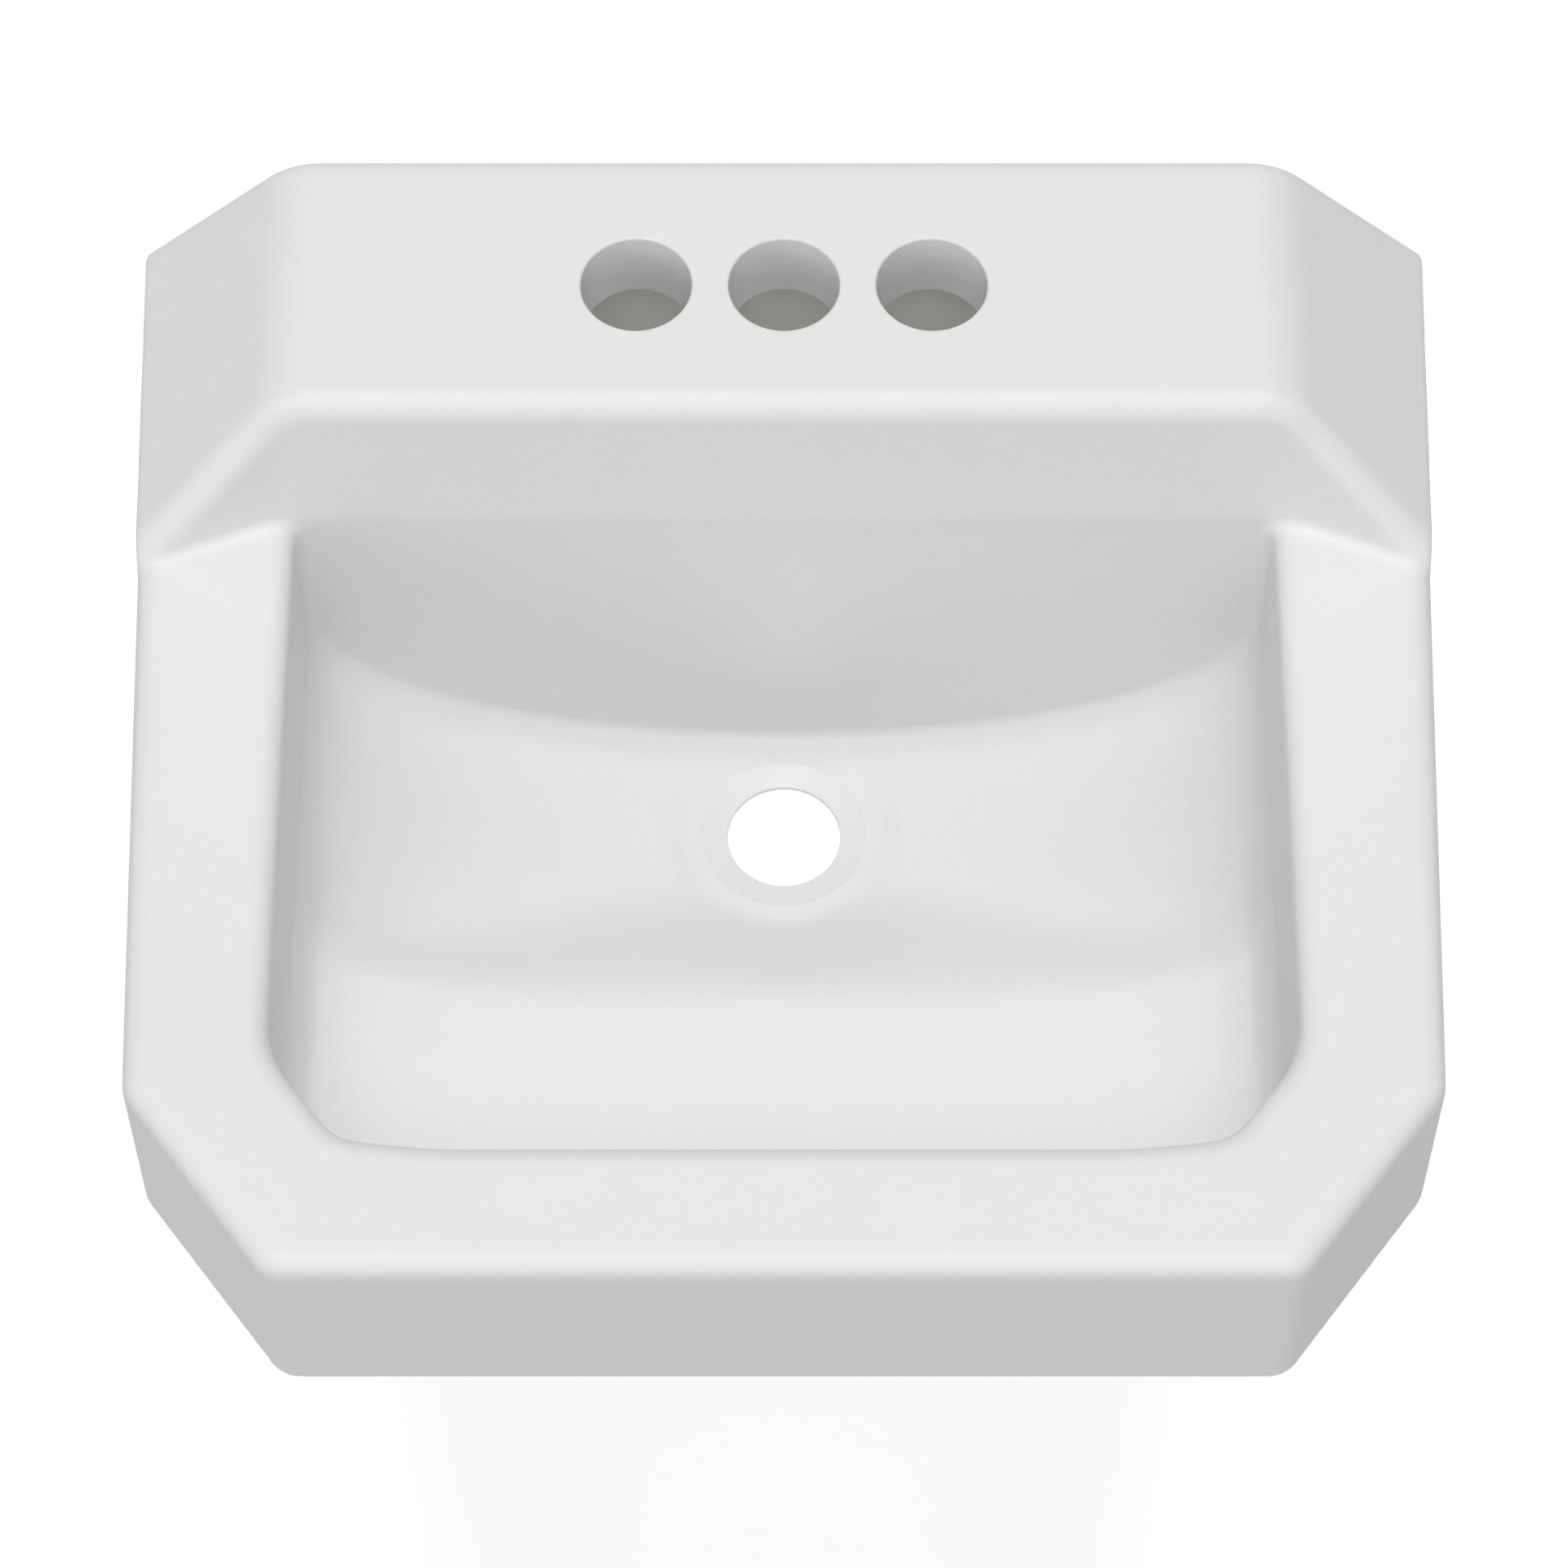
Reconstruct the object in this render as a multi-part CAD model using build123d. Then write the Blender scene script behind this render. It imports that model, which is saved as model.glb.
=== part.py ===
from build123d import *
import math
import os

# All sizes are millimetres. X runs to the right, Y runs back towards the wall and Z runs up.
# The origin lies on the wall plane, midway along the basin, level with the top of its rim.

# Outline of the basin, seen from above
back_width = 456.0
side_corner_width = 434.0
front_width = 335.0
basin_depth = 401.0
front_corner_depth = 66.0
corner_radius = 12.0

# Heights of the outside
deck_height = 55.0
apron_height = 88.0

# Raised deck along the wall, and the riser in front of it
deck_depth = 105.0
deck_flat_width = 345.0
riser_lean = 9.7
riser_end_run = 20.0
riser_end_width = 52.0
riser_bend_radius = 45.0

# Thickness of the fired clay
wall = 11.0
deck_wall = 12.0
back_wall = 12.0
floor_wall = 12.0
web_wall = 10.0
web_rise = 12.0

# Bowl, with upright sides above an arched floor
bowl_width = 340.0
bowl_length = 240.1
bowl_corner_width = 292.0
bowl_corner_length = 34.4
bowl_bow_width = 240.0
bowl_bow = 3.9
bowl_back_radius = 5.0
bowl_side_radius = 36.0
bowl_corner_radius = 16.0
bowl_bow_radius = 220.0
straight_depth = 60.0
drain_depth = 87.0
shelf_depth = 47.0
front_depth = 24.0
arch_margin = 1.5
arch_points = 24
floor_rows = 30
floor_tolerance = 0.02
ramp_middle = 99.0
ramp_reach = 25.0
front_sweep = 22.0

# Soft edges
tap_edge_radius = 1.0
deck_end_radius = 28.0
deck_edge_radius = 9.0
back_edge_radius = 5.0
rim_edge_radius = 7.0
apron_edge_radius = 6.0
bowl_edge_radius = 7.0
bowl_floor_radius = 4.0

# Three tap holes in the deck, which is thicker around them
tap_hole_diameter = 38.1
tap_hole_spacing = 50.8
tap_hole_setback = 54.0
tap_boss_depth = 30.0
tap_boss_margin = 14.0

# Waste outlet in the floor
outlet_diameter = 41.3
outlet_from_bowl_back = 42.3
outlet_lip = 4.0
outlet_seat_slope = 45.0
dish_diameter = 59.0
dish_depth = 1.6
outlet_boss_diameter = 84.0
outlet_boss_drop = 4.0

# Steel hanger on the wall, which holds the basin by two upturned hooks
hanger_width = 214.0
hanger_top = 22.0
hanger_height = 58.0
hanger_plate = 3.0
hanger_corner_radius = 6.0
hook_width = 26.0
hook_spacing = 180.0
hook_lip = 12.0
hook_bend_radius = 3.5
hook_root = 10.0
hook_gap = 0.8
seat_gap = 0.2
lift_travel = 14.0
travel_clearance = 1.5

# Pocket in the back of the basin, around the hanger
pocket_depth = 10.0
pocket_clearance = 8.0
pocket_top_clearance = 4.0
hook_slot_clearance = 3.0

# Screws that hold the hanger
hanger_screw_spacing_x = 170.0
hanger_screw_spacing_z = 24.0
hanger_screw_centre = -14.0
hanger_screw_diameter = 5.5
hanger_screw_length = 38.0
hanger_plain_shank = 12.0
hanger_thread_pitch = 2.5
hanger_screw_head = 10.6
hanger_screw_head_height = 3.6
hanger_screw_hole = 6.4
hanger_washer_diameter = 14.0
hanger_washer_thickness = 1.2
washer_chamfer = 0.15

# Anchor screws through the foot of the back wall
anchor_spacing = 330.0
anchor_drop = 58.0
anchor_screw_diameter = 7.9
anchor_screw_length = 57.0
anchor_plain_shank = 30.0
anchor_thread_pitch = 3.2
anchor_head_across_flats = 12.7
anchor_head_height = 5.2
anchor_slot_width = 10.4
anchor_washer_diameter = 30.0
anchor_washer_thickness = 2.0

# Nylon bushes that keep the anchor screws and washers off the clay
bush_flange_diameter = 32.0
bush_flange_thickness = 2.5
bush_sleeve_clearance = 0.4
bush_sleeve_shortening = 1.0
bush_gap = 0.2

# Screw details
bore_clearance = 0.3
thread_depth = 0.8
shank_relief = 0.1
tip_length = 7.0
tip_radius = 0.4
recess_width = 1.4
recess_length = 6.0
recess_depth = 2.0

# How far cutting shapes run past the clay, how far joined shapes run into it, and how edges are picked
over = 20.0
overlap = 1.0
near = 0.5

# What follows is worked out from the sizes above
riser_foot = deck_depth + riser_lean
deck_half = deck_flat_width / 2
widest_half = max(back_width, side_corner_width) / 2
bowl_half = bowl_width / 2
bowl_back = -riser_foot
bowl_front = bowl_back - bowl_length
outlet_y = bowl_back - outlet_from_bowl_back
floor_level = -straight_depth - drain_depth
hanger_bottom = hanger_top - hanger_height
pocket_half = hanger_width / 2 + pocket_clearance
pocket_top = hanger_top + pocket_top_clearance
pocket_bottom = hanger_bottom - lift_travel - travel_clearance
pocket_front = pocket_depth + back_wall
boss_bottom = floor_level - floor_wall - outlet_boss_drop
anchor_head_seat = back_wall + bush_gap + bush_flange_thickness + anchor_washer_thickness


def box_between(low, high):
    size = [b - a for a, b in zip(low, high)]
    return Pos(*low) * Box(*size, align=(Align.MIN, Align.MIN, Align.MIN))


def raised(shape, low, high):
    return extrude(Pos(0, 0, low) * shape, high - low, dir=(0, 0, 1))


def both_sides(shape):
    return [shape, mirror(shape, Plane.YZ)]


def soften(shape, chosen, radius):
    return fillet([edge for edge in shape.edges() if chosen(edge.center())], radius)


def outline():
    half_back, half_side, half_front = back_width / 2, side_corner_width / 2, front_width / 2
    corner_y = front_corner_depth - basin_depth
    right = [(half_back, 0), (half_side, corner_y), (half_front, -basin_depth)]
    left = [(-x, y) for x, y in reversed(right)]
    shape = Polygon(*right, *left, align=None)
    return fillet([v for v in shape.vertices() if v.Y < corner_y / 2], corner_radius)


# The plan line where the riser stands on the rim, with its ends coming forward
def in_front_of_riser():
    reach = back_width
    end_y = -riser_foot - riser_end_run / riser_end_width * (reach - deck_half)
    right = [(reach, -basin_depth - over), (reach, end_y), (deck_half, -riser_foot)]
    left = [(-x, y) for x, y in reversed(right)]
    shape = Polygon(*right, *left, align=None)
    return fillet([v for v in shape.vertices() if abs(v.Y + riser_foot) < near], riser_bend_radius)


# The slope at each end of the deck falls from the flat to the basin's widest line, level with the rim
def deck_end_space(inset):
    slope = deck_height / (widest_half - deck_half)
    start = deck_half - inset * math.hypot(1, slope) / slope
    far, top = widest_half + over, deck_height + over
    points = [(start, deck_height), (start + (deck_height + inset) / slope, -inset), (far, -inset)]
    shape = Polygon(*points, (far, top), (start, top), align=None)
    return extrude(Plane.XZ * shape, basin_depth, both=True)


# The riser leans back as it rises, and so does everything cut along it
def along_riser(shape, low, high):
    lean = Vector(0, riser_lean, deck_height) * ((high - low) / deck_height)
    start = Pos(0, riser_lean * low / deck_height, low)
    return extrude(start * shape, lean.length, dir=lean.normalized())


def outer_form():
    body = raised(outline(), -apron_height, deck_height)
    body -= along_riser(in_front_of_riser(), 0, deck_height + over)
    for space in both_sides(deck_end_space(0)):
        body -= space
    body = soften(body, is_deck_crease, deck_end_radius)
    body = soften(body, is_deck_front, deck_edge_radius)
    body = soften(body, is_rim_edge, rim_edge_radius)
    body = soften(body, is_back_edge, back_edge_radius)
    return soften(body, is_apron_edge, apron_edge_radius)


def is_deck_crease(c):
    return abs(abs(c.X) - deck_half) < near and abs(c.Z - deck_height) < near


# Along the top of the riser, but not down the seams between its flats and its bends
def is_deck_front(c):
    on_riser = -riser_foot - riser_end_run < c.Y < riser_bend_radius / 2 - riser_foot
    beside_seams = abs(c.X) < near or abs(c.X) > deck_half + riser_end_run / 2
    return on_riser and c.Z > deck_height / 10 and (beside_seams or c.Z > deck_height / 2 + riser_lean / 2)


def is_rim_edge(c):
    return abs(c.Z) < near and c.Y < -riser_foot - riser_end_run


def is_back_edge(c):
    return abs(c.Y) < near and c.Z > 0


def is_apron_edge(c):
    return abs(c.Z + apron_height) < near and c.Y < -near


def bowl_outline(grow):
    corner_y = bowl_front + bowl_corner_length
    cut_end, bow_end = bowl_corner_width / 2, bowl_bow_width / 2
    right = [(bowl_half, bowl_back), (bowl_half, corner_y), (cut_end, bowl_front + bowl_bow)]
    right.append((bow_end, bowl_front))
    left = [(-x, y) for x, y in reversed(right)]
    shape = Polygon(*right, *left, align=None)
    if grow > 0:
        shape = offset(shape, amount=grow, kind=Kind.INTERSECTION)
    middle = (bowl_back + bowl_front) / 2
    corners = sorted(shape.vertices(), key=lambda v: (v.Y > middle, abs(v.X)))
    radii = (bowl_bow_radius, bowl_corner_radius, bowl_side_radius, bowl_back_radius)
    for i, radius in enumerate(radii):
        pair = corners[2 * i : 2 * i + 2]
        shape = fillet([v for v in shape.vertices() if is_one_of(v, pair)], radius + grow)
    return shape


def is_one_of(vertex, others):
    return any(abs(vertex.X - v.X) + abs(vertex.Y - v.Y) < near for v in others)


# Depth of the floor's arch below the straight sides, at a distance in front of the bowl's back
def arch_depth(forward):
    ramp = (1 + math.tanh((forward - ramp_middle) / ramp_reach)) / 2
    sweep = math.exp((forward - bowl_length) / front_sweep)
    return drain_depth + (shelf_depth - drain_depth) * ramp + (front_depth - shelf_depth) * sweep


# Everything above the arched floor, as wide as the bowl with its wall
def above_floor(grow, drop):
    half = bowl_half + grow + arch_margin
    widest = math.asin((bowl_half + grow + arch_margin / 2) / half)
    angles = [widest * (2 * i / arch_points - 1) for i in range(arch_points + 1)]
    start = -grow - 2 * overlap
    length = bowl_length - 2 * start
    rows = []
    for j in range(floor_rows + 1):
        forward = start + length * j / floor_rows
        depth = arch_depth(forward) + drop
        y = bowl_back - forward
        rows.append([Vector(half * math.sin(a), y, -straight_depth - depth * math.cos(a)) for a in angles])
    surface = Face.make_surface_from_array_of_points(rows, tol=floor_tolerance)
    return extrude(surface, straight_depth + drain_depth + drop + over, dir=(0, 0, 1))


def bowl_space():
    low = -straight_depth - drain_depth - over
    space = raised(bowl_outline(0), low, 0) & above_floor(0, 0)
    return fillet(space.faces().sort_by(Axis.Z)[0].edges(), bowl_floor_radius)


# The rounded lip of the bowl, which dies out where the riser takes over at the back
def bowl_lip_space():
    low = -2 * bowl_edge_radius
    slab = raised(Rectangle(2 * back_width, 4 * basin_depth), low, 0)
    around = slab - raised(bowl_outline(0), low, 0)
    lip = slab - soften(around, is_bowl_edge, bowl_edge_radius)
    behind = Rectangle(2 * back_width, 4 * basin_depth) - in_front_of_riser()
    return lip - raised(behind, low - overlap, overlap)


def is_bowl_edge(c):
    return abs(c.Z) < near and abs(c.X) < back_width / 2 and -basin_depth < c.Y < 0


def inner_outline():
    shape = offset(outline(), amount=-wall, kind=Kind.INTERSECTION)
    return shape & (Pos(0, -basin_depth - back_wall) * Rectangle(2 * back_width, 2 * basin_depth))


# Open space under the rim and the deck
def hollow():
    low = -apron_height - over
    front = Pos(0, wall) * in_front_of_riser()
    under_rim = raised(inner_outline(), low, -wall)
    behind_bowl = raised(inner_outline() - front, -wall, 0)
    under_deck = raised(inner_outline(), 0, deck_height - deck_wall) - along_riser(front, 0, deck_height)
    for space in both_sides(deck_end_space(deck_wall)):
        under_deck -= space
    return under_rim + behind_bowl + under_deck


def bowl_shell():
    low = floor_level - floor_wall - over
    return raised(bowl_outline(wall), low, -wall / 2) & above_floor(wall, floor_wall)


# Two webs tie the back wall to the bowl, either side of the hanger's pocket
def webs():
    inner = pocket_half + back_wall
    low = (inner, -riser_foot, -apron_height + web_rise)
    high = (inner + web_wall, overlap - back_wall, deck_height - deck_wall + overlap)
    web = box_between(low, high)
    web -= along_riser(Pos(0, wall / 2) * in_front_of_riser(), low[2] - overlap, deck_height)
    return both_sides(web)


def pocket_backing():
    half = pocket_half + back_wall
    top = deck_height - deck_wall + overlap
    return box_between((-half, -pocket_front, pocket_bottom - back_wall), (half, 0, top))


def pocket():
    space = box_between((-pocket_half, -pocket_depth, pocket_bottom), (pocket_half, over, pocket_top))
    slot_half = hook_width / 2 + hook_slot_clearance
    slot_bottom = hanger_top - hanger_plate - lift_travel - travel_clearance
    for x in (-hook_spacing / 2, hook_spacing / 2):
        low = (x - slot_half, -pocket_front - overlap, slot_bottom)
        space += box_between(low, (x + slot_half, 0, hanger_top + seat_gap))
    return space


def anchor_slots():
    travel = lift_travel + travel_clearance
    slot = SlotCenterToCenter(travel, anchor_slot_width, rotation=90)
    place = Plane.XZ * Pos(anchor_spacing / 2, -anchor_drop - travel / 2) * slot
    return both_sides(extrude(place, back_wall + overlap, both=True))


def tap_holes():
    hole = Cylinder(tap_hole_diameter / 2, 2 * (tap_boss_depth + overlap))
    return [Pos(x, -tap_hole_setback, deck_height) * hole for x in (-tap_hole_spacing, 0, tap_hole_spacing)]


def tap_boss():
    shape = SlotCenterToCenter(2 * tap_hole_spacing, tap_hole_diameter + 2 * tap_boss_margin)
    return raised(Pos(0, -tap_hole_setback) * shape, deck_height - tap_boss_depth, deck_height - deck_wall / 2)


def outlet():
    radius = outlet_diameter / 2
    dish_floor = floor_level - dish_depth
    seat_height = dish_floor - outlet_lip - boss_bottom
    seat_radius = radius + seat_height / math.tan(math.radians(outlet_seat_slope))
    upright = (Align.CENTER, Align.CENTER, Align.MIN)
    hole = Pos(0, 0, boss_bottom - overlap) * Cylinder(radius, floor_wall + over, align=upright)
    dish = Pos(0, 0, dish_floor) * Cone(radius, dish_diameter / 2, dish_depth, align=upright)
    dish += Pos(0, 0, floor_level) * Cylinder(dish_diameter / 2, over, align=upright)
    seat = Pos(0, 0, boss_bottom) * Cone(seat_radius, radius, seat_height, align=upright)
    return Pos(0, outlet_y) * (hole + dish + seat)


def outlet_boss():
    height = floor_wall + outlet_boss_drop
    boss = Cylinder(outlet_boss_diameter / 2, height, align=(Align.CENTER, Align.CENTER, Align.MIN))
    return Pos(0, outlet_y, boss_bottom) * boss


def is_tap_edge(c):
    return abs(c.Z - deck_height) < 0.1 and abs(c.Y + tap_hole_setback) < 1


def basin():
    body = outer_form() - hollow()
    for piece in (bowl_shell(), pocket_backing(), tap_boss(), outlet_boss(), *webs()):
        body += piece
    for space in (bowl_space(), bowl_lip_space(), pocket(), outlet(), *anchor_slots(), *tap_holes()):
        body -= space
    return soften(body, is_tap_edge, tap_edge_radius)


# Pieces that lie along the wall's normal are drawn upright and then laid with their tips in the wall
def into_wall(shape, x, y, z):
    return Pos(x, y, z) * Rot(X=-90) * shape


def hanger_screw_places():
    xs = (-hanger_screw_spacing_x / 2, hanger_screw_spacing_x / 2)
    rise = hanger_screw_spacing_z / 2
    return [(x, z) for x in xs for z in (hanger_screw_centre - rise, hanger_screw_centre + rise)]


def anchor_places():
    return [(-anchor_spacing / 2, -anchor_drop), (anchor_spacing / 2, -anchor_drop)]


# One hook seen from the side: the plate's top edge bends forward through the slot and then up
def hook(x):
    back, near, far = 0, -pocket_front - hook_gap, -pocket_front - hook_gap - hanger_plate
    top, under, tip = hanger_top, hanger_top - hanger_plate, hanger_top + hook_lip
    root = hanger_top - hook_root
    points = [(back, root), (back, top), (near, top), (near, tip), (far, tip), (far, under)]
    points += [(-hanger_plate, under), (-hanger_plate, root)]
    shape = Polygon(*points, align=None)
    outer = [v for v in shape.vertices() if (v.X, v.Y) in ((back, top), (far, under))]
    shape = fillet(outer, hook_bend_radius)
    strip = extrude(Plane.YZ * shape, hook_width / 2, both=True)
    return Pos(x) * fillet(strip.edges().filter_by(Axis.Y).group_by(Axis.Z)[-1], hook_bend_radius)


def wall_hanger():
    face = RectangleRounded(hanger_width, hanger_height, hanger_corner_radius)
    middle = (hanger_top + hanger_bottom) / 2
    plate = extrude(Plane.XZ * Pos(0, middle) * face, hanger_plate)
    for x in (-hook_spacing / 2, hook_spacing / 2):
        plate += hook(x)
    for x, z in hanger_screw_places():
        plate -= into_wall(Cylinder(hanger_screw_hole / 2, 2 * (hanger_plate + overlap)), x, 0, z)
    return plate


# A turned shank: a neck that tapers up to the wall, a plain length, a coarse thread and a point
def shank(diameter, neck, length, plain, pitch):
    radius = diameter / 2
    thin = radius - shank_relief
    points = [(0, 0), (radius, 0), (thin, neck), (thin, plain), (radius, plain)]
    turns = int((length - plain - tip_length) / pitch)
    for i in range(turns):
        start = plain + i * pitch
        points += [(radius - thread_depth, start + pitch / 2), (radius, start + pitch)]
    points += [(tip_radius, length), (0, length)]
    return revolve(make_face(Plane.XZ * Polyline(*points, close=True)), axis=Axis.Z)


def hanger_screws():
    height = hanger_screw_head_height
    head = Pos(0, 0, -height / 2) * Cylinder(hanger_screw_head / 2, height)
    head = fillet(head.edges().sort_by(Axis.Z)[0], height / 2)
    for turn in (0, 90):
        slot = Box(recess_length, recess_width, 2 * recess_depth)
        head -= Pos(0, 0, -height) * Rot(Z=turn) * slot
    seat = hanger_plate + hanger_washer_thickness
    length, plain = hanger_screw_length, hanger_plain_shank
    screw = head + shank(hanger_screw_diameter, seat, length, plain, hanger_thread_pitch)
    return [into_wall(screw, x, -seat, z) for x, z in hanger_screw_places()]


def anchor_screws():
    hexagon = RegularPolygon(anchor_head_across_flats / 2, 6, major_radius=False)
    head = extrude(Pos(0, 0, -anchor_head_height) * hexagon, anchor_head_height, dir=(0, 0, 1))
    head = chamfer(head.faces().sort_by(Axis.Z)[0].edges(), thread_depth)
    length, plain = anchor_screw_length, anchor_plain_shank
    screw = head + shank(anchor_screw_diameter, anchor_head_seat, length, plain, anchor_thread_pitch)
    return [into_wall(screw, x, -anchor_head_seat, z) for x, z in anchor_places()]


def ring(outer, bore, thickness):
    upright = (Align.CENTER, Align.CENTER, Align.MIN)
    shape = Cylinder(outer / 2, thickness, align=upright) - Cylinder(bore / 2, thickness, align=upright)
    return chamfer(shape.edges().filter_by(GeomType.CIRCLE), washer_chamfer)


def hanger_washers():
    bore = hanger_screw_diameter + 2 * bore_clearance
    washer = ring(hanger_washer_diameter, bore, hanger_washer_thickness)
    seat = -hanger_plate - hanger_washer_thickness
    return [into_wall(washer, x, seat, z) for x, z in hanger_screw_places()]


def anchor_washers():
    bore = anchor_screw_diameter + 2 * bore_clearance
    washer = ring(anchor_washer_diameter, bore, anchor_washer_thickness)
    return [into_wall(washer, x, -anchor_head_seat, z) for x, z in anchor_places()]


def anchor_bushes():
    upright = (Align.CENTER, Align.CENTER, Align.MIN)
    length = bush_flange_thickness + back_wall + bush_gap - bush_sleeve_shortening
    sleeve = anchor_slot_width / 2 - bush_sleeve_clearance
    bush = Cylinder(bush_flange_diameter / 2, bush_flange_thickness, align=upright)
    bush += Cylinder(sleeve, length, align=upright)
    bush -= Cylinder(anchor_screw_diameter / 2 + bore_clearance, length, align=upright)
    seat = -anchor_head_seat + anchor_washer_thickness
    return [into_wall(bush, x, seat, z) for x, z in anchor_places()]


def save(name, pieces):
    group = pieces if isinstance(pieces, list) else [pieces]
    whole = Compound(children=[solid for piece in group for solid in piece.solids()])
    export_step(whole, os.path.join("parts", name + ".step"))


os.makedirs("parts", exist_ok=True)
save("basin", basin())
save("wall_hanger", wall_hanger())
save("hanger_screws", hanger_screws())
save("hanger_washers", hanger_washers())
save("anchor_screws", anchor_screws())
save("anchor_washers", anchor_washers())
save("anchor_bushes", anchor_bushes())
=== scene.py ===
import math

import bpy
import numpy as np
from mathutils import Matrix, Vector
from mathutils.bvhtree import BVHTree


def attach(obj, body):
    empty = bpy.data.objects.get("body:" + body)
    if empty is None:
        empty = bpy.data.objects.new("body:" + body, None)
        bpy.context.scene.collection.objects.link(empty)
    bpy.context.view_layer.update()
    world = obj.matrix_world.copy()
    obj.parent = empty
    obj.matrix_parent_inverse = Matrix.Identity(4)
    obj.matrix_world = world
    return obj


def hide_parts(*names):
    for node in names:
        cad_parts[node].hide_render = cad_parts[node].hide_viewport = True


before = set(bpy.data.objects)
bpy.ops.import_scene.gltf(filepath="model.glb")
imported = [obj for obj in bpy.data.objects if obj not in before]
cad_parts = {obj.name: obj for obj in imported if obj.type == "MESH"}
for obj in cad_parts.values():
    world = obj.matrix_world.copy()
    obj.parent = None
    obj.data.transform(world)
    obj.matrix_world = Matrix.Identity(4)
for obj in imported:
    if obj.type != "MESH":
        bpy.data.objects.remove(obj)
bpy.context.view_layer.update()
print("stage: frame loaded")


def choose(*pieces):  # only these are selected, and the last is active
    bpy.ops.object.select_all(action="DESELECT")
    for piece in pieces:
        piece.select_set(True)
    bpy.context.view_layer.objects.active = pieces[-1]


def applyModifier(piece, kind, **settings):
    choose(piece)
    modifier = piece.modifiers.new(kind, kind)
    for key, value in settings.items():
        setattr(modifier, key, value)
    bpy.ops.object.modifier_apply(modifier=modifier.name)


mergeReach = 1e-6


def copyOf(node, name):  # a merged copy of a CAD node's mesh, whose triangles come loose
    piece = bpy.data.objects.new(name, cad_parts[node].data.copy())
    bpy.context.scene.collection.objects.link(piece)
    choose(piece)
    bpy.ops.object.mode_set(mode="EDIT")
    bpy.ops.mesh.select_all(action="SELECT")
    bpy.ops.mesh.remove_doubles(threshold=mergeReach)
    bpy.ops.object.mode_set(mode="OBJECT")
    return piece


def points(piece):
    found = np.zeros(len(piece.data.vertices) * 3)
    piece.data.vertices.foreach_get("co", found)
    return found.reshape(-1, 3)


def movePoints(piece, places):
    piece.data.vertices.foreach_set("co", places.ravel())
    piece.data.update()


def ease(value, low, high):  # 0 below low, 1 above high, smooth between
    t = np.clip((value - low) / (high - low), 0, 1)
    return t * t * (3 - 2 * t)


basinCast = {  # lengths in metres, here and below
    "voxel": 0.0018,
    "triangles": 175000,
    "evenOut": 2,
    "evenFactor": 0.5,
    "smoothAngle": 40,
    "deckTop": 0.055,
    "deckBoss": 0.030,
    "plugMargin": 0.0015,
    "plugSides": 64,
}

tapHoles = {
    "pitch": 0.0508,
    "setback": 0.054,
    "radius": 0.01905,
    "edge": 0.0010,
    "edgeSteps": 5,
    "sides": 96,
}

drain = {
    "place": (0.0, -0.157, -0.147),  # middle of the hole, at the level of the bowl's floor
    "radius": 0.02065,
    "edge": 0.0004,
    "edgeSteps": 3,
    "dishRadius": 0.0295,
    "dishDepth": 0.0016,
    "dishEdge": 0.0005,
    "dishStep": 0.0004,
    "lip": 0.0015,
    "underside": -0.163,
    "padRadius": 0.032,
    "padBlend": 0.044,
    "sides": 128,
}

bowl = {  # the ramp is the soft step in the floor, measured forward from the bowl's back
    "back": -0.1147,
    "length": 0.2401,
    "half": 0.1715,
    "straight": 0.060,
    "deep": 0.087,
    "shelf": 0.047,
    "front": 0.024,
    "sweep": 0.022,
    "drawnRampMiddle": 0.099,
    "drawnRampReach": 0.025,
    "rampStart": 0.060,
    "rampStartSide": 0.036,
    "rampStartMiddle": 0.013,
    "rampEnd": 0.137,
    "rampEndMiddle": 0.004,
    "middleReach": 0.028,
    "sideFrom": 0.030,
    "sideTo": 0.160,
    "shelfSquareness": 0.5,
    "floorNear": 0.004,
    "floorFar": 0.008,
    "wallBlend": 0.010,
}

capSearch = {  # tells a cylinder's end cap from its sides
    "reach": 1e-5,
    "upright": 0.9,
}


def addCylinder(radius, low, high, x, y, sides):  # upright, from one height to another
    bpy.ops.object.select_all(action="DESELECT")
    place = (x, y, (low + high) / 2)
    bpy.ops.mesh.primitive_cylinder_add(vertices=sides, radius=radius, depth=high - low, location=place)
    return bpy.context.object


def stepOut(piece, faceZ, profile):  # carries one end cap along a profile of (radius, height) steps
    choose(piece)
    bpy.ops.object.transform_apply(location=True, rotation=True, scale=True)
    mesh = piece.data
    bpy.ops.object.mode_set(mode="EDIT")
    bpy.ops.mesh.select_all(action="DESELECT")
    bpy.ops.object.mode_set(mode="OBJECT")
    for face in mesh.polygons:
        level = abs(face.normal.z) > capSearch["upright"]
        face.select = level and abs(face.center.z - faceZ) < capSearch["reach"]
    bpy.ops.object.mode_set(mode="EDIT")
    bpy.ops.mesh.select_mode(type="FACE")
    radius, height = profile[0]
    for nextRadius, nextHeight in profile[1:]:
        shift = {"value": (0, 0, nextHeight - height)}
        bpy.ops.mesh.extrude_region_move(TRANSFORM_OT_translate=shift)
        size = nextRadius / radius
        bpy.ops.transform.resize(value=(size, size, 1))
        radius, height = nextRadius, nextHeight
    bpy.ops.object.mode_set(mode="OBJECT")


def roundedEdge(radius, edge, top, steps):  # a quarter round that opens a hole's mouth
    turns = [math.pi / 2 * i / steps for i in range(steps + 1)]
    return [(radius + edge * (1 - math.cos(a)), top - edge + edge * math.sin(a)) for a in turns]


def cut(piece, cutter):
    applyModifier(piece, "BOOLEAN", operation="DIFFERENCE", solver="EXACT", object=cutter)
    bpy.data.objects.remove(cutter)


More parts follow.
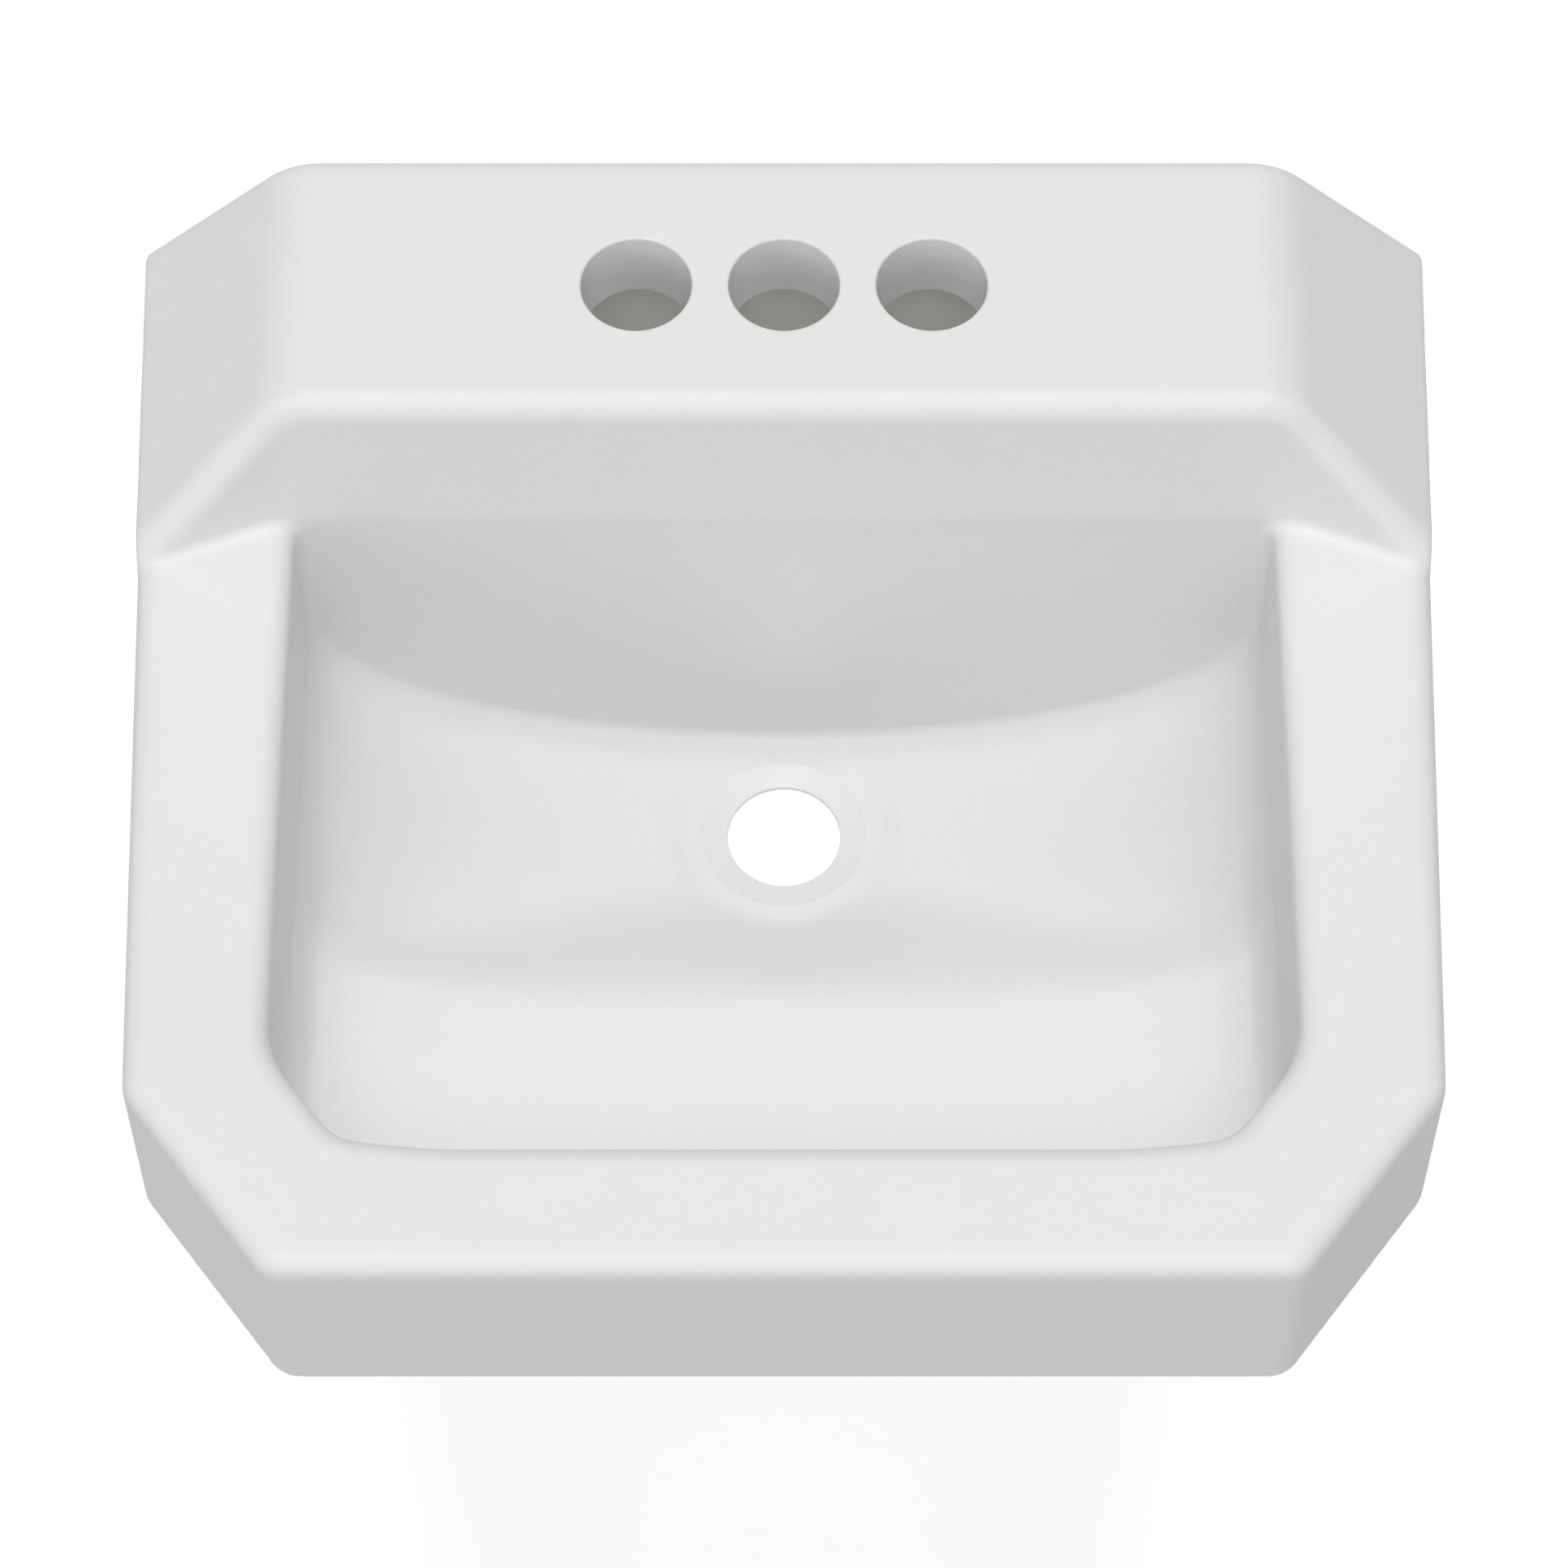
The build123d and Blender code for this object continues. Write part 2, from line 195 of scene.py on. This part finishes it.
def tapCutter(x):  # runs down past the thicker deck and opens out above it
    top = basinCast["deckTop"]
    mouth = roundedEdge(tapHoles["radius"], tapHoles["edge"], top, tapHoles["edgeSteps"])
    low, high = top - 2 * basinCast["deckBoss"], mouth[0][1]
    cutter = addCylinder(tapHoles["radius"], low, high, x, -tapHoles["setback"], tapHoles["sides"])
    stepOut(cutter, high, mouth + [(mouth[-1][0], 2 * top)])
    return cutter


def drainCutter():  # a dish above, a thin lip, and a conical seat below
    x, y, level = drain["place"]
    dish = level - drain["dishDepth"]
    radius, rim, soft = drain["radius"], drain["dishRadius"], drain["dishEdge"]
    mouth = roundedEdge(radius, drain["edge"], dish, drain["edgeSteps"])
    low, high = dish - drain["lip"], mouth[0][1]
    cutter = addCylinder(radius, low, high, x, y, drain["sides"])
    bowlEdge = [(rim - soft, level - drain["dishStep"]), (rim + soft, level), (rim + soft, level / 2)]
    stepOut(cutter, high, mouth + bowlEdge)
    flare = radius + low - drain["underside"]
    stepOut(cutter, low, [(radius, low), (flare, drain["underside"]), (flare, 2 * level)])
    return cutter


def archHeight(x, squareness):  # a superellipse across the bowl, 1 in the middle and 0 at the walls
    share = np.clip(np.abs(x) / bowl["half"], 0, 1)
    power = 2 + squareness
    return (1 - share ** power) ** (1 / power)


def floorHeights(x, forward):  # the cast floor as drawn, and as it comes out of the mould
    front = (bowl["front"] - bowl["shelf"]) * np.exp((forward - bowl["length"]) / bowl["sweep"])
    step = bowl["shelf"] - bowl["deep"]
    drawnRamp = (1 + np.tanh((forward - bowl["drawnRampMiddle"]) / bowl["drawnRampReach"])) / 2
    drawn = -bowl["straight"] - (bowl["deep"] + step * drawnRamp + front) * archHeight(x, 0)
    middle = np.exp(-((x / bowl["middleReach"]) ** 2))
    side = ease(np.abs(x), bowl["sideFrom"], bowl["sideTo"])
    start = bowl["rampStart"] + bowl["rampStartSide"] * side + bowl["rampStartMiddle"] * middle
    ramp = ease(forward, start, bowl["rampEnd"] - bowl["rampEndMiddle"] * (middle + side))
    arch = archHeight(x, bowl["shelfSquareness"] * ramp)
    cast = -bowl["straight"] - (bowl["deep"] + step * ramp + front) * arch
    return drawn, cast


def shapeFloor(piece):  # moves the floor and its underside, and levels a pad around the drain
    places = points(piece)
    x, y, z = places.T
    forward = bowl["back"] - y
    drawn, cast = floorHeights(x, forward)
    centreX, centreY, level = drain["place"]
    away = np.hypot(x - centreX, y - centreY)
    pad = 1 - ease(away, drain["padRadius"], drain["padBlend"])
    above = z - drawn
    top = 1 - ease(np.abs(above), bowl["floorNear"], bowl["floorFar"])
    clay = 1 - ease(above, bowl["floorNear"], bowl["floorFar"])  # the floor and its underside
    fromWall = np.minimum(np.minimum(bowl["half"] - np.abs(x), forward), bowl["length"] - forward)
    inside = ease(fromWall, 0.0, bowl["wallBlend"])
    change = (cast - drawn) * (1 - pad) * inside * clay + (level - z) * pad * top
    places[:, 2] += change * (fromWall > 0)
    places[:, 2] = np.maximum(places[:, 2], drain["underside"])
    movePoints(piece, places)


def makeBasin():
    piece = copyOf("basin", "chinaBasin")
    top, margin, sides = basinCast["deckTop"], basinCast["plugMargin"], basinCast["plugSides"]
    plugs = []  # the holes are filled, and cut again after the remesh
    for side in (-1, 0, 1):
        radius = tapHoles["radius"] + margin
        spot = (side * tapHoles["pitch"], -tapHoles["setback"])
        plugs.append(addCylinder(radius, top - basinCast["deckBoss"], top, *spot, sides))
    x, y, level = drain["place"]
    plugs.append(addCylinder(drain["dishRadius"] + margin, drain["underside"], level, x, y, sides))
    choose(*plugs, piece)
    bpy.ops.object.join()
    applyModifier(piece, "REMESH", mode="VOXEL", voxel_size=basinCast["voxel"])
    applyModifier(piece, "SMOOTH", factor=basinCast["evenFactor"], iterations=basinCast["evenOut"])
    shapeFloor(piece)
    ratio = basinCast["triangles"] / (2 * len(piece.data.polygons))
    applyModifier(piece, "DECIMATE", ratio=ratio)
    for side in (-1, 0, 1):
        cut(piece, tapCutter(side * tapHoles["pitch"]))
    cut(piece, drainCutter())
    choose(piece)
    bpy.ops.object.shade_smooth_by_angle(angle=math.radians(basinCast["smoothAngle"]))
    return piece


bareChina = {  # where the glaze stops
    "rayStart": 0.0015,
    "wallReach": -0.001,
    "wallFacing": 0.7,
}


def markBare(piece):  # no glaze on the wall face, nor on what the deck and rim cover
    tree = BVHTree.FromObject(piece, bpy.context.evaluated_depsgraph_get())
    places = points(piece)
    normals = np.zeros(places.size)
    piece.data.vertex_normals.foreach_get("vector", normals)
    normals = normals.reshape(-1, 3)
    up = Vector((0, 0, 1))
    starts = places + normals * bareChina["rayStart"]
    covered = [tree.ray_cast(Vector(start), up)[0] is not None for start in starts]
    onWall = (places[:, 1] > bareChina["wallReach"]) & (normals[:, 1] > bareChina["wallFacing"])
    marks = piece.data.attributes.new("bare", "FLOAT", "POINT")
    marks.data.foreach_set("value", (np.array(covered) | onWall).astype(np.float32))


class Wire:  # one node socket that can stand in a sum
    def __init__(self, recipe, socket):
        self.recipe = recipe
        self.socket = socket

    def joined(self, operation, first, second):
        return self.recipe.add("ShaderNodeMath", {"operation": operation}, {0: first, 1: second})

    def __add__(self, other):
        return self.joined("ADD", self, other)

    def __radd__(self, other):
        return self.joined("ADD", other, self)

    def __sub__(self, other):
        return self.joined("SUBTRACT", self, other)

    def __rsub__(self, other):
        return self.joined("SUBTRACT", other, self)

    def __mul__(self, other):
        return self.joined("MULTIPLY", self, other)

    def __rmul__(self, other):
        return self.joined("MULTIPLY", other, self)


class Recipe:  # the node tree of one material, or of the world
    def __init__(self, owner):
        self.owner = owner
        owner.use_nodes = True
        self.tree = owner.node_tree
        self.tree.nodes.clear()

    def add(self, kind, settings=None, inputs=None, output=0):  # any node, as its output's wire
        node = self.tree.nodes.new(kind)
        for key, value in (settings or {}).items():
            if key == "stops":
                setStops(node.color_ramp, value)
            else:
                setattr(node, key, value)
        for key, value in (inputs or {}).items():
            if isinstance(value, Wire):
                self.tree.links.new(value.socket, node.inputs[key])
            else:
                node.inputs[key].default_value = value
        return Wire(self, node.outputs[output]) if len(node.outputs) else None

    def tint(self, amount, low, high):
        ends = [colour if isinstance(colour, Wire) else (*colour, 1) for colour in (low, high)]
        return self.add("ShaderNodeMix", {"data_type": "RGBA"}, {0: amount, 6: ends[0], 7: ends[1]}, 2)

    def place(self, stretch=(1, 1, 1)):
        inputs = {"Vector": self.add("ShaderNodeTexCoord", output=3), "Scale": stretch}
        return self.add("ShaderNodeMapping", {}, inputs)

    def noise(self, place, scale, detail=2.0, roughness=0.5):
        inputs = {"Vector": place, "Scale": scale, "Detail": detail, "Roughness": roughness}
        return self.add("ShaderNodeTexNoise", {}, inputs)

    def ramp(self, value, stops):
        return self.add("ShaderNodeValToRGB", {"stops": stops}, {0: value})

    def bump(self, height):  # height in metres
        return self.add("ShaderNodeBump", {}, {"Height": height, "Distance": 1.0, "Strength": 1.0})

    def surface(self, **inputs):
        named = {key.replace("_", " "): value for key, value in inputs.items()}
        return self.finish(self.add("ShaderNodeBsdfPrincipled", {}, named))

    def sight(self):  # 1 where the camera, a mirror or glass looks, 0 for light that falls on things
        rays = ("Camera", "Glossy", "Transmission")
        looks = [self.add("ShaderNodeLightPath", output=f"Is {ray} Ray") for ray in rays]
        return looks[0] + looks[1] + looks[2]

    def finish(self, surface):
        self.add("ShaderNodeOutputMaterial", {}, {"Surface": surface})
        return self.owner


def setStops(ramp, stops):
    while len(ramp.elements) < len(stops):
        ramp.elements.new(0.5)
    for element, (position, level) in zip(ramp.elements, stops):
        element.position = position
        element.color = (level, level, level, 1)


def newRecipe(name):
    return Recipe(bpy.data.materials.new(name))


chinaLook = {  # a noise is its scale, detail and roughness
    "glaze": (0.83, 0.83, 0.83),
    "glazeThin": (0.812, 0.814, 0.808),
    "biscuit": (0.81, 0.80, 0.775),
    "biscuitDark": (0.77, 0.755, 0.72),
    "roughness": 0.5,
    "roughnessSpread": 0.08,
    "bareRoughness": 0.4,
    "mottle": (9.0,),
    "mottleShare": 0.6,
    "pool": (34.0, 3.0),
    "poolShare": 0.4,
    "grain": (900.0, 3.0, 0.7),
    "grainShare": 0.5,
    "grainDepth": 0.0003,
    "peel": (230.0, 1.0),
    "peelDepth": 0.00012,
    "glazeLine": [(0.55, 0), (0.72, 1)],
    "lineWander": 0.5,
}


def chinaMaterial():
    r = newRecipe("glazedChina")
    place = r.place()
    mottle = r.noise(place, *chinaLook["mottle"])
    pooled = r.noise(place, *chinaLook["pool"])
    grain = r.noise(place, *chinaLook["grain"])
    peel = r.noise(place, *chinaLook["peel"])
    bare = r.add("ShaderNodeAttribute", {"attribute_name": "bare"}, {}, 2)
    bare = r.ramp(bare + (pooled - 0.5) * chinaLook["lineWander"], chinaLook["glazeLine"])
    thin = mottle * chinaLook["mottleShare"] + pooled * chinaLook["poolShare"]
    glaze = r.tint(thin, chinaLook["glaze"], chinaLook["glazeThin"])
    dark = mottle * (1 - chinaLook["grainShare"]) + grain * chinaLook["grainShare"]
    biscuit = r.tint(dark, chinaLook["biscuit"], chinaLook["biscuitDark"])
    rough = chinaLook["roughness"] + (pooled - 0.5) * chinaLook["roughnessSpread"]
    height = peel * chinaLook["peelDepth"] * (1 - bare) + grain * chinaLook["grainDepth"] * bare
    return r.surface(
        Base_Color=r.tint(bare, glaze, biscuit),
        Roughness=rough + bare * chinaLook["bareRoughness"],
        Normal=r.bump(height),
    )


zincLook = {
    "plate": (0.62, 0.63, 0.64),
    "plateDark": (0.50, 0.51, 0.53),
    "plateStretch": (0.1, 1, 1),
    "plateSpangle": 0.6,
    "screw": (0.70, 0.69, 0.64),
    "screwBlue": (0.60, 0.63, 0.67),
    "screwStretch": (1, 0.2, 1),
    "screwSpangle": 0.1,
    "spangleScale": 150.0,
    "cloud": (30.0, 4.0),
    "scratch": (400.0, 3.0, 0.6),
    "scratchDepth": 0.00004,
    "roughness": 0.3,
    "roughnessCloud": 0.2,
    "roughnessSpangle": 0.15,
}


def zincMaterial(name, light, dark, stretch, spangled):
    r = newRecipe(name)
    place = r.place()
    cloud = r.noise(place, *zincLook["cloud"])
    scratch = r.noise(r.place(stretch), *zincLook["scratch"])
    inputs = {"Vector": place, "Scale": zincLook["spangleScale"]}
    spangle = r.add("ShaderNodeTexVoronoi", {"feature": "F1"}, inputs, 1)
    spangle = r.add("ShaderNodeSeparateColor", {}, {0: spangle})
    shade = cloud * (1 - spangled) + spangle * spangled
    rough = zincLook["roughness"] + cloud * zincLook["roughnessCloud"]
    return r.surface(
        Base_Color=r.tint(shade, light, dark),
        Metallic=1.0,
        Roughness=rough + spangle * (zincLook["roughnessSpangle"] * spangled),
        Normal=r.bump(scratch * zincLook["scratchDepth"]),
    )


def zincPlate():
    ends = zincLook["plate"], zincLook["plateDark"]
    return zincMaterial("zincPlate", *ends, zincLook["plateStretch"], zincLook["plateSpangle"])


def zincScrew():
    ends = zincLook["screw"], zincLook["screwBlue"]
    return zincMaterial("zincScrew", *ends, zincLook["screwStretch"], zincLook["screwSpangle"])


nylonLook = {
    "body": (0.78, 0.78, 0.74),
    "worn": (0.72, 0.71, 0.66),
    "cloud": (60.0, 3.0),
    "grain": (700.0, 2.0),
    "grainDepth": 0.00006,
    "roughness": 0.42,
    "roughnessCloud": 0.15,
}


def nylonMaterial():
    r = newRecipe("mouldedNylon")
    place = r.place()
    cloud = r.noise(place, *nylonLook["cloud"])
    grain = r.noise(place, *nylonLook["grain"])
    return r.surface(
        Base_Color=r.tint(cloud, nylonLook["body"], nylonLook["worn"]),
        Roughness=nylonLook["roughness"] + cloud * nylonLook["roughnessCloud"],
        Normal=r.bump(grain * nylonLook["grainDepth"]),
    )


def dress(material, *nodes):  # CAD nodes that are shown as they are
    for node in nodes:
        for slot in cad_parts[node].material_slots:
            slot.material = material


basin = makeBasin()
basin.data.materials.clear()
basin.data.materials.append(chinaMaterial())
markBare(basin)
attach(basin, "basin")
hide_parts("basin")
print("stage: basin of", sum(len(face.vertices) - 2 for face in basin.data.polygons), "triangles")

dress(zincPlate(), "wall_hanger")
dress(zincScrew(), "hanger_screws", "hanger_washers", "anchor_screws", "anchor_washers")
dress(nylonMaterial(), "anchor_bushes")
print("stage: fixings finished")

cameraView = {  # as solved from the photograph, about 60 degrees above the horizon
    "place": (0.0, -1.1368, 1.5869),
    "tilt": 30.0,
    "lens": 124.84,
    "sensor": 36.0,
}


def addCamera():
    data = bpy.data.cameras.new("camera")
    data.lens = cameraView["lens"]
    data.sensor_width = cameraView["sensor"]
    camera = bpy.data.objects.new("camera", data)
    camera.location = cameraView["place"]
    camera.rotation_euler = (math.radians(cameraView["tilt"]), 0, 0)
    bpy.context.scene.collection.objects.link(camera)
    bpy.context.scene.camera = camera


studio = {
    "sky": 0.24,  # strength of the world above the horizon, and below it
    "ground": 0.41,
    "suns": {  # where each stands, how wide it is in degrees, and its strength
        "above": ((0, 0, 1), 14, 1.04),
        "aboveFront": ((0, -1, 2.2), 30, 0.63),
        "front": ((0, -1, 0.3), 30, 0.55),
        "aboveBack": ((0, 1, 1.5), 30, 0.35),
        "leftFront": ((-1, -0.8, 0.35), 30, 0.24),
    },
    "fillPlace": (0, -0.17, -0.45),
    "fillSize": 0.35,
    "fillWatts": 0.6,
    "floorLevel": -0.8,
    "floorSize": 1.6,
    "floorColour": (0.4, 0.4, 0.4),
    "floorRoughness": 0.7,
    "floorWhite": 0.7,
}


def addLamps():
    world = bpy.data.worlds.new("studio")
    bpy.context.scene.world = world
    world.use_nodes = True
    r = Recipe(world)
    upward = r.add("ShaderNodeSeparateXYZ", {}, {0: r.add("ShaderNodeTexCoord", output=0)}, 2)
    skyward = r.add("ShaderNodeMath", {"operation": "GREATER_THAN"}, {0: upward, 1: 0.0})
    strength = studio["ground"] + skyward * (studio["sky"] - studio["ground"])
    light = r.add("ShaderNodeBackground", {}, {"Color": (1, 1, 1, 1), "Strength": strength})
    white = r.add("ShaderNodeBackground", {}, {"Color": (1, 1, 1, 1), "Strength": 1.0})
    mixed = r.add("ShaderNodeMixShader", {}, {0: r.sight(), 1: light, 2: white})
    r.add("ShaderNodeOutputWorld", {}, {"Surface": mixed})
    for name, (direction, spread, energy) in studio["suns"].items():
        sun = bpy.data.lights.new(name, "SUN")
        sun.energy = energy
        sun.angle = math.radians(spread)
        lamp = bpy.data.objects.new(name, sun)
        lamp.rotation_euler = Vector(direction).to_track_quat("Z", "Y").to_euler()
        bpy.context.scene.collection.objects.link(lamp)
    fill = bpy.data.lights.new("fromBelow", "AREA")  # shines up into the hollow casting
    fill.size = studio["fillSize"]
    fill.energy = studio["fillWatts"]
    lamp = bpy.data.objects.new("fromBelow", fill)
    lamp.location = studio["fillPlace"]
    lamp.rotation_euler = (math.pi, 0, 0)
    lamp.visible_camera = False
    bpy.context.scene.collection.objects.link(lamp)


def addFloor():
    bpy.ops.object.select_all(action="DESELECT")
    bpy.ops.mesh.primitive_plane_add(size=studio["floorSize"], location=(0, 0, studio["floorLevel"]))
    floor = bpy.context.object
    floor.name = "floor"
    bpy.ops.object.transform_apply(location=True, rotation=True, scale=True)
    r = newRecipe("paleFloor")
    paint = {"Base Color": (*studio["floorColour"], 1), "Roughness": studio["floorRoughness"]}
    lit = r.add("ShaderNodeBsdfPrincipled", {}, paint)
    strength = r.sight() * studio["floorWhite"]
    glow = r.add("ShaderNodeEmission", {}, {"Color": (1, 1, 1, 1), "Strength": strength})
    both = r.add("ShaderNodeAddShader", {}, {0: lit, 1: glow})
    floor.data.materials.append(r.finish(both))


addCamera()
addLamps()
addFloor()
bpy.context.scene.view_settings.view_transform = "Standard"
print("stage: camera and light set")
